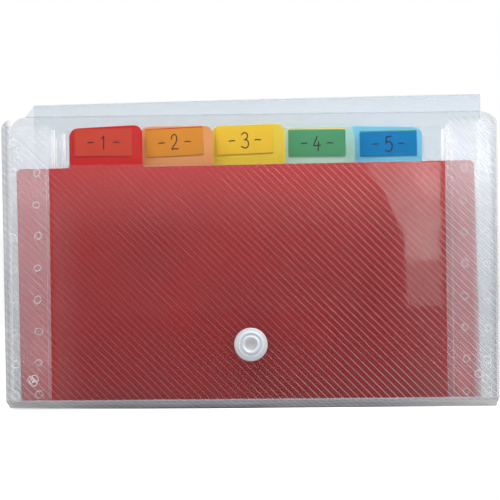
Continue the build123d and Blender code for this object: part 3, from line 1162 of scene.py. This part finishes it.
def turn_on_lathe(name, profile, node, body, base_y, outward):
    """Spins (radius, height) pairs, in millimetres, round the stud's axis."""
    low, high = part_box(node)
    middle = (low + high) / 2
    bm = bmesh.new()
    verts = [bm.verts.new((r * MM, outward * h * MM, 0)) for r, h in profile]
    edges = [bm.edges.new(pair) for pair in zip(verts, verts[1:])]
    bmesh.ops.spin(
        bm, geom=verts + edges, cent=(0, 0, 0), axis=(0, 1, 0), angle=math.tau, steps=lathe_steps,
        use_merge=True,
    )
    bmesh.ops.remove_doubles(bm, verts=bm.verts[:], dist=weld_distance)
    bmesh.ops.recalc_face_normals(bm, faces=bm.faces[:])
    bmesh.ops.translate(bm, verts=bm.verts[:], vec=(middle.x, base_y, middle.z))
    return finish_piece(name, bm, [snap_white], [node], body, smooth=True)


socket_profile = [
    (0, 0.72), (1.6, 0.74), (2.7, 0.8), (3.2, 0.98), (3.45, 1.4), (3.55, 1.95), (3.7, 2.22), (3.95, 2.3),
    (4.2, 2.22), (4.36, 1.95), (4.5, 1.3), (4.7, 1.0), (5.05, 0.92), (5.45, 0.96), (5.65, 1.2),
    (5.85, 1.42), (6.15, 1.5), (6.45, 1.4), (6.65, 1.15), (6.85, 0.98), (7.3, 0.92), (7.8, 0.86),
    (8.2, 0.7), (8.45, 0.42), (8.5, 0.15), (8.44, 0.0), (0, 0.0),
]
rivet_profile = [
    (0, 0.6), (3.5, 0.58), (4.9, 0.5), (5.35, 0.3), (5.5, 0.0), (2.0, 0.0), (2.0, -1.3), (0, -1.3),
]
stud_profile = [
    (0, 2.0), (1.6, 1.98), (2.5, 1.86), (2.95, 1.6), (3.1, 1.3), (3.05, 1.0), (3.2, 0.78), (3.6, 0.7),
    (5.0, 0.68), (5.7, 0.55), (6.0, 0.25), (5.95, 0.0), (0, 0.0),
]
cap_profile = [
    (0, 0.9), (2.2, 0.88), (4.4, 0.8), (5.9, 0.66), (6.7, 0.42), (7.0, 0.15), (6.95, 0.0), (0, 0.0),
]
turn_on_lathe("snap_socket_button", socket_profile, "snap_socket", "front", front_low.y, -1)
turn_on_lathe("snap_rivet_head", rivet_profile, "snap_rivet", "front", front_high.y, 1)
turn_on_lathe("snap_stud_button", stud_profile, "snap_stud", "flap", flap_high.y, 1)
turn_on_lathe("snap_cap_button", cap_profile, "snap_cap", "flap", flap_low.y, -1)

# %% [markdown]
# The studio is a white room. A bright world would fill every shadow, so the world is dim for the light
# it throws and white only for what is seen straight, in a gloss or through a sheet. A strip lamp over
# the notch lights the tabs most. The rear lamp is kept out of every gloss, because the bottom sheet
# would mirror it towards the camera. Four small boxes in front light nothing: they are only there to be
# mirrored by the front sheet, as a tall patch with a slanting one beside it.

# %% Studio
plain_light = 0.28
floor_grey = (0.75, 0.75, 0.75, 1)
floor_glow = 0.75
floor_size = 8
white = (1, 1, 1, 1)
cool_light = (0.95, 0.97, 1.0)
narrow = math.radians(60)


def lamp(name, place, target, size, watts, colour=white[:3], spin=0, spread=math.pi):
    data = bpy.data.lights.new(name, "AREA")
    data.shape = "RECTANGLE"
    data.size, data.size_y = size
    data.energy = watts
    data.color = colour
    data.spread = spread
    light = bpy.data.objects.new(name, data)
    bpy.context.scene.collection.objects.link(light)
    place, target = Vector(place), Vector(target)
    light.location = place
    aim = (target - place).to_track_quat("-Z", "Y") @ Quaternion((0, 0, 1), math.radians(spin))
    light.rotation_euler = aim.to_euler()
    light.visible_camera = False
    return light


def mirrored_box(name, x, z, size, watts, spin=0):
    """A box that shows only in a gloss, square to the front at a set distance from it."""
    box = lamp(name, (x, box_distance, z), (x, 0, z), size, watts, spin=spin)
    box.visible_diffuse = False


lamp("notch", place=(0.02, -0.10, 0.29), target=(0, 0, 0.12), size=(0.6, 0.06), watts=0.75)
lamp("key", place=(0.10, -0.30, 0.45), target=(0, 0, 0.08), size=(0.5, 0.2), watts=0.3)
lamp("fill", (-0.4, -1.2, 0.3), target=(0, 0, 0.07), size=(0.9, 0.6), watts=0.8, colour=cool_light)
lamp("top", place=(0.0, 0.15, 0.7), target=(0, 0.02, 0.12), size=(0.6, 0.4), watts=0.5)
lamp("right_side", place=(0.7, -0.35, 0.3), target=(0.1, 0, 0.08), size=(0.3, 0.5), watts=1.2)
rear = lamp("rear", (0.0, 1.2, 0.12), (0, 0, 0.09), (0.6, 0.4), 1.0, cool_light, spread=narrow)
rear.visible_glossy = False

box_distance = -0.6
box_width = 0.023
tall_x, slanting_x = 0.077, 0.063
mirrored_box("slanting_box", slanting_x, z=0.11, size=(box_width, 0.059), watts=0.048, spin=28.5)
mirrored_box("high_box", tall_x, z=0.1165, size=(box_width, 0.023), watts=0.041)
mirrored_box("middle_box", tall_x, z=0.0838, size=(box_width, 0.0425), watts=0.042)
mirrored_box("low_box", tall_x, z=0.048, size=(box_width, 0.029), watts=0.012)


class Sky(Finish):
    """The world, whose nodes come from the same method as a material's."""

    def __init__(self, name):
        self.world = bpy.data.worlds.new(name)
        self.start(self.world)

    def light_path(self, kind):
        return self.node("ShaderNodeLightPath", out=kind)


sky = Sky("studio")
unseen = 1 - sky.light_path("Is Camera Ray")
for kind in ("Is Glossy Ray", "Is Transmission Ray"):
    unseen = unseen * (1 - sky.light_path(kind))
strength = 1 - (1 - plain_light) * unseen
background = sky.node("ShaderNodeBackground", {}, {"Color": white, "Strength": strength})
sky.node("ShaderNodeOutputWorld", {}, {"Surface": background})
bpy.context.scene.world = sky.world

floor_finish = Finish("floor")
seen = floor_finish.node("ShaderNodeLightPath", out="Is Camera Ray")
pale = floor_finish.node("ShaderNodeBsdfDiffuse", {}, {"Color": floor_grey})
glow = floor_finish.node("ShaderNodeEmission", {}, {"Color": white, "Strength": seen * floor_glow})
both = floor_finish.node("ShaderNodeAddShader", {}, {0: pale, 1: glow})
floor_finish.node("ShaderNodeOutputMaterial", {}, {"Surface": both})
bm = bmesh.new()
bmesh.ops.create_grid(bm, x_segments=1, y_segments=1, size=floor_size)
mesh = bpy.data.meshes.new("floor")
bm.to_mesh(mesh)
bm.free()
mesh.materials.append(floor_finish.material)
floor = bpy.data.objects.new("floor", mesh)
bpy.context.scene.collection.objects.link(floor)

scene = bpy.context.scene
scene.view_settings.view_transform = "Standard"
scene.cycles.transparent_max_bounces = 96
scene.cycles.max_bounces = 6
scene.cycles.diffuse_bounces = 3
scene.cycles.glossy_bounces = 3
print(len(bpy.data.lights), "lamps")
